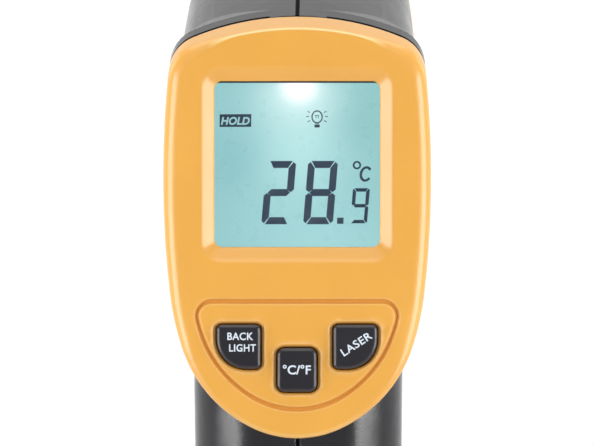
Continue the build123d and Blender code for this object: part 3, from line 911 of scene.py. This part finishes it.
# name, words, size, middle u, baseline v, turn, body, thicken, squeeze, spacing
LABELS = (
    ("label_back", "BACK", 1.20, -9.14, 15.83, 0.0, "backlight_key", 0.019, 0.94, 1.06),
    ("label_light", "LIGHT", 1.19, -8.74, 13.98, 0.0, "backlight_key", 0.019, 0.90, 1.08),
    ("label_units", "°C/°F", 1.45, -0.06, 10.35, 0.0, "units_key", 0.019, 1.04, 0.99),
    ("label_laser", "LASER", 1.30, 9.75, 14.62, 33.2, "laser_key", 0.014, 1.07, 1.09),
)
PRINT_SUNK = 0.005
for name, words, size, mid_u, base_v, turn, body, thicken, squeeze, spacing in LABELS:
    text_mesh(name, words, size, on_face(mid_u, base_v, KEY_HEIGHT - PRINT_SUNK, turn), INK, body,
              thicken=thicken, squeeze=squeeze, spacing=spacing)

# ---------- screen ----------

SCREEN_FRONT, SCREEN_BACK = -4.30, -6.50
MARK = SCREEN_FRONT + 0.002  # just clear of the glass
screen = block("screen_glass", box_loop(0.0, 43.4, 29.0, 30.4, 0.3, steps=3), SCREEN_FRONT, SCREEN_BACK,
               SCREEN)
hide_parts("lcd_panel")
# a dark strip along the top of the window, as painted shadow of the gap between screen and bezel
block("window_top_shadow", [(-12.9, 57.02), (12.9, 57.02), (12.9, 57.24), (-12.9, 57.24)], -1.62, -3.1,
      CHIP)


def segments(lit, left, base, width, height, stroke, gap, slant=0.083):
    """The lit bars of one seven-bar digit, as outlines on the face."""
    w, h, s, g = width, height, stroke, gap
    c = s * 0.42  # how much is cut off a bar's corner
    m = h / 2
    bars = {
        "a": [(c + g, h), (w - c - g, h), (w - s - g * 1.2, h - s), (s + g * 1.2, h - s)],
        "b": [(w - c + g, h - c * 0.35), (w, h - c * 1.1), (w, m + c), (w - c, m + g),
              (w - s, m + c), (w - s, h - s - g * 0.2)],
        "c": [(w - c, m - g), (w, m - c), (w, c * 1.1), (w - c + g, c * 0.35),
              (w - s, s + g * 0.2), (w - s, m - c)],
        "d": [(c + g, 0), (s + g * 1.2, s), (w - s - g * 1.2, s), (w - c - g, 0)],
        "e": [(c, m - g), (s, m - c), (s, s + g * 0.2), (c - g, c * 0.35), (0, c * 1.1), (0, m - c)],
        "f": [(c - g, h - c * 0.35), (s, h - s - g * 0.2), (s, m + c), (c, m + g), (0, m + c),
              (0, h - c * 1.1)],
        "g": [(c + g * 1.4, m), (s + g * 0.6, m - s / 2), (w - s - g * 0.6, m - s / 2),
              (w - c - g * 1.4, m), (w - s - g * 0.6, m + s / 2), (s + g * 0.6, m + s / 2)],
    }
    # a bar that ends beside an unlit one has a blunter end
    if "f" not in lit:
        bars["a"][0] = (0.6 * s - g, h)
    if "c" not in lit:
        bars["d"][3] = (w - 0.6 * s + g, 0)
    if "e" not in lit:
        bars["d"][0] = (0.2 * s, 0)
    return [[(left + x + slant * y, base + y) for x, y in bars[bar]] for bar in lit]


def oval(mid_u, mid_v, radius_u, radius_v, start=0.0, turn=360.0, steps=36, slant=0.0):
    """An ellipse, or the part of one that starts at an angle and turns by another."""
    points = []
    for k in range(steps + (0 if turn == 360.0 else 1)):
        a = radians(start + turn * k / steps)
        x, y = radius_u * cos(a), radius_v * sin(a)
        points.append((mid_u + x + slant * y, mid_v + y))
    return points


def stroke_loop(a, b, width):
    """A straight stroke from a to b."""
    a, b = Vector(a), Vector(b)
    along = (b - a).normalized()
    aside = Vector((-along.y, along.x)) * width / 2
    return anticlockwise([tuple(a - aside), tuple(b - aside), tuple(b + aside), tuple(a + aside)])


def reading():
    """The digits and the point."""
    bars = segments("abged", -5.80, 34.30, 4.80, 10.20, 1.14, 0.075)
    bars += segments("abcdefg", 0.93, 34.30, 4.80, 10.20, 1.14, 0.075)
    bars += segments("abcdfg", 8.52, 34.45, 2.72, 5.66, 0.56, 0.05)
    bars.append([(6.40, 34.36), (7.44, 34.36), (7.48, 35.36), (6.44, 35.36)])
    return [(anticlockwise(bar), []) for bar in bars]


def unit_symbol():
    """The degree ring and the letter C."""
    outer = oval(11.06, 42.40, 1.02, 1.25, 38, 284, 30, 0.12)
    inner = oval(11.06, 42.40, 0.60, 0.86, 322, -284, 30, 0.12)
    return [(oval(9.62, 43.82, 0.68, 0.68), [oval(9.62, 43.82, 0.38, 0.38)]),
            (anticlockwise(outer + inner), [])]


def lamp_symbol(u, v):
    """A bulb with its filament, cap and three rays on each side."""
    shapes = [(oval(u, v, 0.92, 1.06), [oval(u, v, 0.72, 0.86)]),
              (box_loop(u, v - 1.48, 0.86, 0.46, 0.1, steps=3), []),
              (box_loop(u, v - 1.14, 0.72, 0.10, 0.04, steps=3), [])]
    shapes.append((stroke_loop((u - 0.35, v + 0.22), (u + 0.35, v + 0.22), 0.10), []))
    for leg in (u - 0.18, u + 0.18):
        shapes.append((stroke_loop((leg, v + 0.22), (leg, v - 0.22), 0.10), []))
    for side in (-1, 1):
        for near, far, tilt in ((1.25, 1.70, 26), (1.28, 1.74, 0), (1.25, 1.70, -26)):
            ends = [(u + side * r * cos(radians(tilt)), v + 0.05 + r * 1.15 * sin(radians(tilt)))
                    for r in (near, far)]
            shapes.append((stroke_loop(*ends, 0.13), []))
    return shapes


PLATE_THICK = 0.012
flat("screen_marks", reading() + unit_symbol() + lamp_symbol(3.20, 51.60), MARK, 0.015, SEGMENT)
plate = [(-12.52, 49.98), (-7.42, 50.00), (-7.40, 52.05), (-12.50, 52.02)]
flat("hold_plate", [(plate, [])], MARK, PLATE_THICK, SEGMENT)
text_mesh("hold_word", "HOLD", 1.22, on_face(-10.06, 50.38, MARK + PLATE_THICK, 0.0), SEGMENT_GAP,
          "housing", thicken=0.036, squeeze=0.97, slant=0.22, spacing=1.03, depth=0.01)

# ---------- floor, light, camera, in metres ----------

scene = bpy.context.scene
FACE_MIDDLE = at(0.0, 34.5)


def build_floor(reach=4.0):
    low = cad_box[0][2]
    mesh = bpy.data.meshes.new("floor")
    corners = ((-reach, -reach), (reach, -reach), (reach, reach), (-reach, reach))
    mesh.from_pydata([(x, y, low) for x, y in corners], [], [(0, 1, 2, 3)])
    obj = bpy.data.objects.new("floor", mesh)
    scene.collection.objects.link(obj)
    n = Nodes("pale_floor")
    n.feed("Base Color", n.mix(n.spread(n.noise(6.0), 0.0, 1.0), (0.90, 0.90, 0.90), (0.93, 0.93, 0.93)))
    n.fix("Roughness", 0.9)
    n.fix("Specular IOR Level", 0.1)
    mesh.materials.append(n.material)
    return obj


def build_world():
    scene.view_settings.view_transform = "Standard"
    world = bpy.data.worlds.new("studio")
    scene.world = world
    world.use_nodes = True
    world.node_tree.nodes["Background"].inputs["Color"].default_value = (1, 1, 1, 1)
    world.node_tree.nodes["Background"].inputs["Strength"].default_value = 0.13


def softbox(name, place, size, power, aim, only=None):
    """An area light. With only, it lights just that collection, and the camera doesn't see it."""
    light = bpy.data.lights.new(name, "AREA")
    light.shape = "RECTANGLE"
    light.size, light.size_y = size
    light.energy = power
    obj = bpy.data.objects.new(name, light)
    scene.collection.objects.link(obj)
    obj.location = place
    obj.rotation_euler = (Vector(aim) - obj.location).to_track_quat("-Z", "Y").to_euler()
    if only:
        obj.visible_camera = False
        obj.light_linking.receiver_collection = only


def build_lights(floor):
    """Two boxes overhead, one behind, one in front and three on each side.

    Of those three, the side light leaves out the floor, and the handle light reaches only the
    shells and the battery door.
    """
    all_but_floor = bpy.data.collections.new("floor_not_lit_by_side_boxes")
    all_but_floor.objects.link(floor)
    all_but_floor.collection_objects[0].light_linking.link_state = "EXCLUDE"
    shells = bpy.data.collections.new("shells_lit_low")
    for name in ("left_shell", "right_shell", "battery_door"):
        shells.objects.link(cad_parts[name])
    softbox("top_light", (0.0, -0.05, 1.1), (1.2, 1.0), 4.2, (0, 0, 0))
    softbox("floor_light", (0.0, 0.60, 0.95), (1.4, 0.8), 8.2, (0, 0.40, 0))
    softbox("back_light", (0.0, 1.5, 0.46), (2.4, 0.9), 5.0, (0, 0, 0.40))
    softbox("front_light", FACE_MIDDLE + (N + V * 0.95) * 0.8, (0.5, 0.4), 1.3, FACE_MIDDLE)
    for side, name, power in ((-1, "left", 2.05), (1, "right", 2.15)):
        softbox("side_light_" + name, (side * 0.387, -0.194, 0.175), (0.27, 0.34), power, (0, -0.03, 0.16),
                all_but_floor)
        softbox("handle_light_" + name, (side * 0.375, -0.19, 0.045), (0.30, 0.07), 1.3, (0, -0.03, 0.045),
                shells)
        softbox("rim_light_" + name, (side * 1.1, 0.7, 0.45), (0.5, 0.7), 3.0, (0, 0.04, 0.14))


CAMERA_YAW = 0.5  # degrees
CAMERA_DISTANCE = 0.6
SENSOR_WIDTH = 36.0
VIEW_WIDTH = 0.09504  # what the camera takes in, side to side, at the middle of the face


def build_camera():
    """Square to the face but for a slight yaw."""
    data = bpy.data.cameras.new("camera")
    camera = bpy.data.objects.new("camera", data)
    scene.collection.objects.link(camera)
    yaw = radians(CAMERA_YAW)
    towards = (N * cos(yaw) + U * sin(yaw)).normalized()
    sideways = V.cross(towards).normalized()
    camera.location = FACE_MIDDLE + towards * CAMERA_DISTANCE
    camera.rotation_euler = Matrix((sideways, V, towards)).transposed().to_euler()
    data.sensor_width = SENSOR_WIDTH
    data.lens = SENSOR_WIDTH * CAMERA_DISTANCE / VIEW_WIDTH
    data.clip_start = 0.01
    data.clip_end = 50.0
    scene.camera = camera


floor = build_floor()
build_world()
build_lights(floor)
build_camera()
